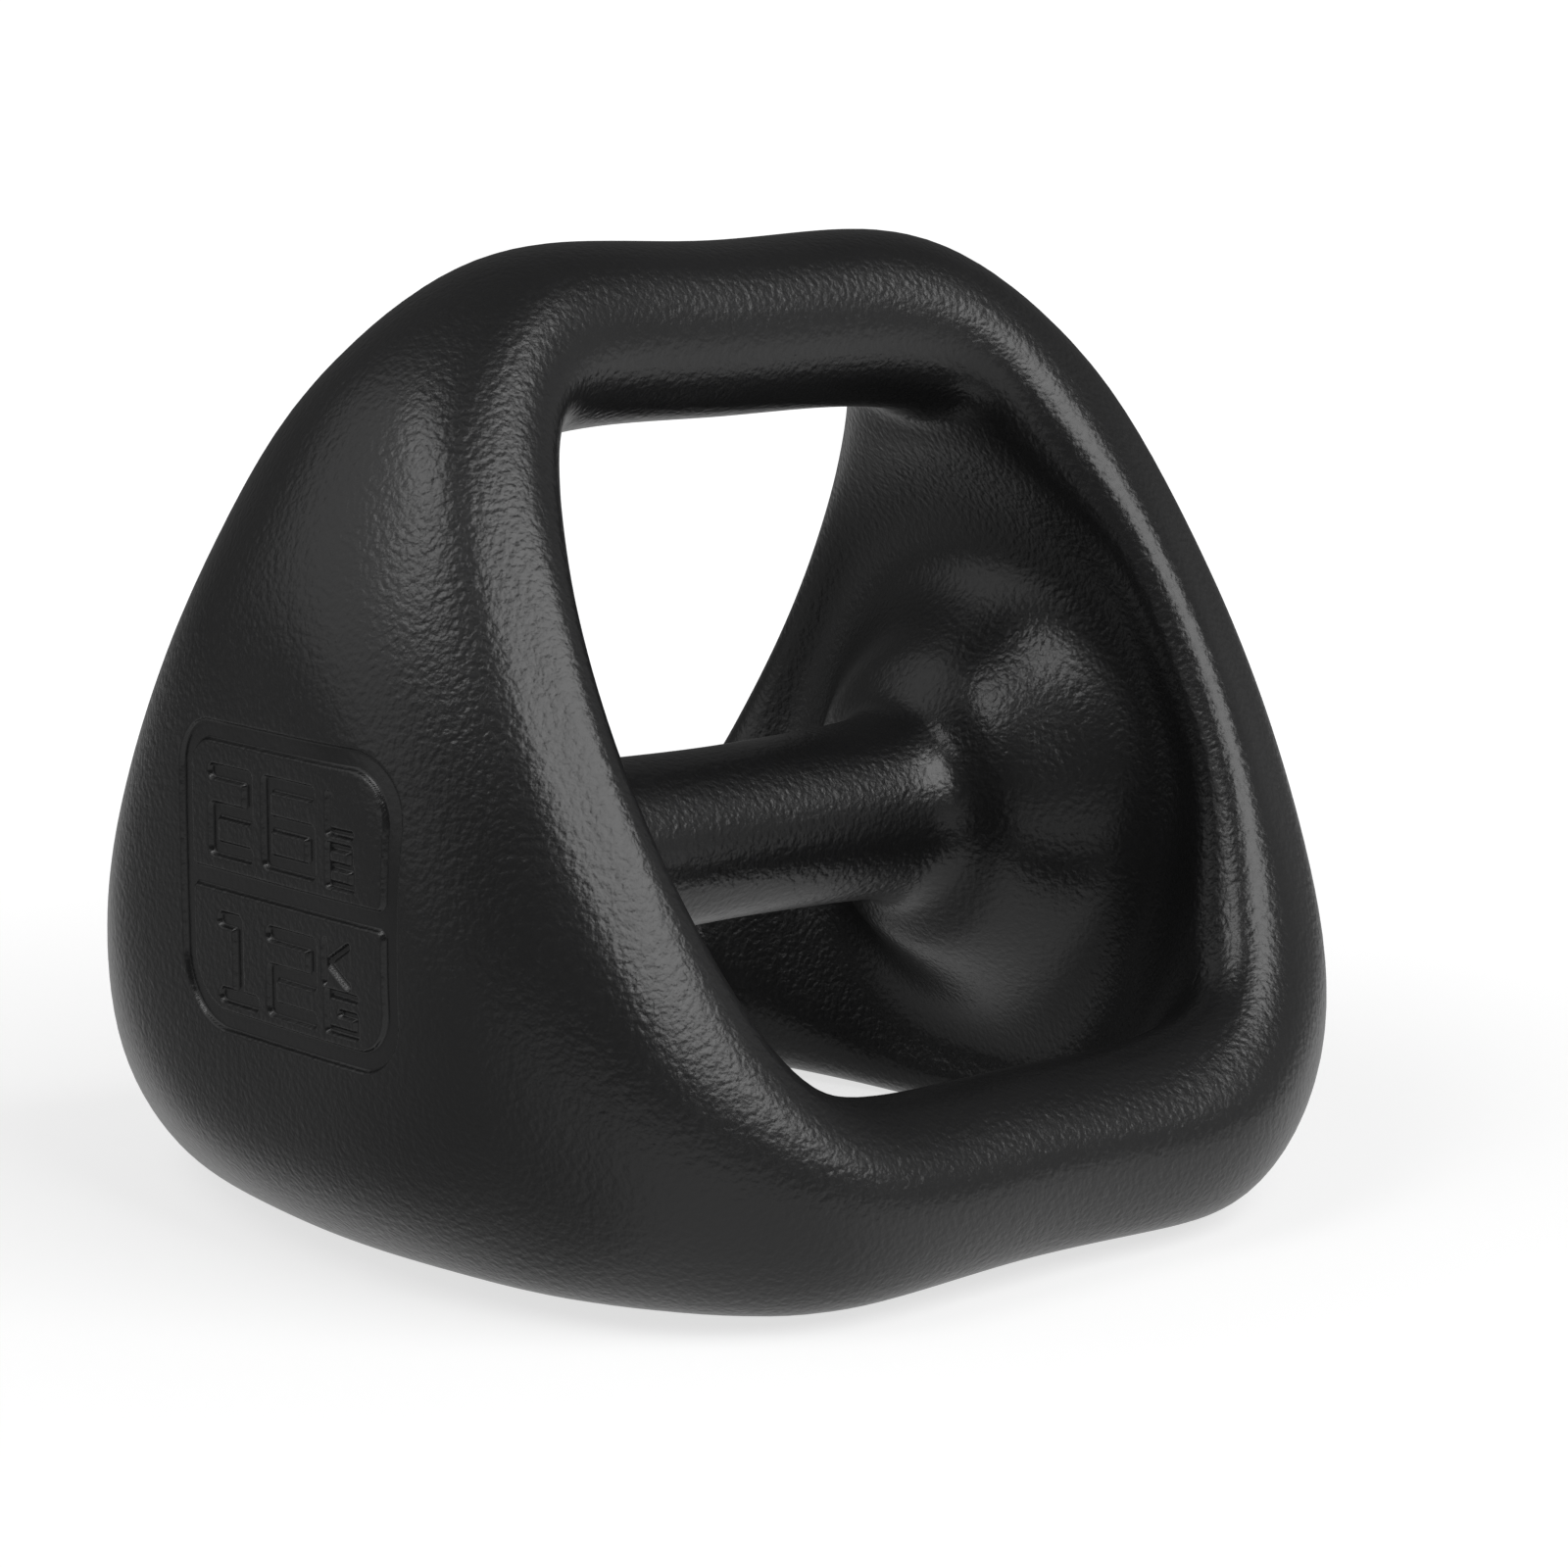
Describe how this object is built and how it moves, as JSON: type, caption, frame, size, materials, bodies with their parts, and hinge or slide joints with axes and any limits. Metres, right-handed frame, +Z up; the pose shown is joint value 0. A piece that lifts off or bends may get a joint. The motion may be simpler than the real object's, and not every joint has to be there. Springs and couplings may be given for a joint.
{
  "type": "kettlebell",
  "caption": "Hand weight with two domed heads, a centre grip between them and outer handles at the rounded corners, all under one matte-black pebbled skin.",
  "frame": {"origin": "on the floor, below the middle of the centre grip", "axes": "+X along the centre grip, from the head that carries the weight panel to the plain head; +Z up through the top handle; +Y to the rear lower handle"},
  "size_m": [0.207, 0.2006, 0.1797],
  "materials": {
    "iron": "rough cast",
    "dowel_steel": "ground",
    "weld_metal": "dressed flush",
    "coat": "matte, fine pebbled"
  },
  "bodies": {
    "root": {"right_half_casting": "iron", "left_half_casting": "iron", "grip_dowel": "dowel_steel", "top_handle_dowel": "dowel_steel", "front_handle_dowel": "dowel_steel", "rear_handle_dowel": "dowel_steel", "grip_weld": "weld_metal", "top_handle_weld": "weld_metal", "front_handle_weld": "weld_metal", "rear_handle_weld": "weld_metal", "right_head_coat": "coat", "left_head_coat": "coat", "grip_coat": "coat", "top_handle_coat": "coat", "front_handle_coat": "coat", "rear_handle_coat": "coat"}
  },
  "joints": []
}
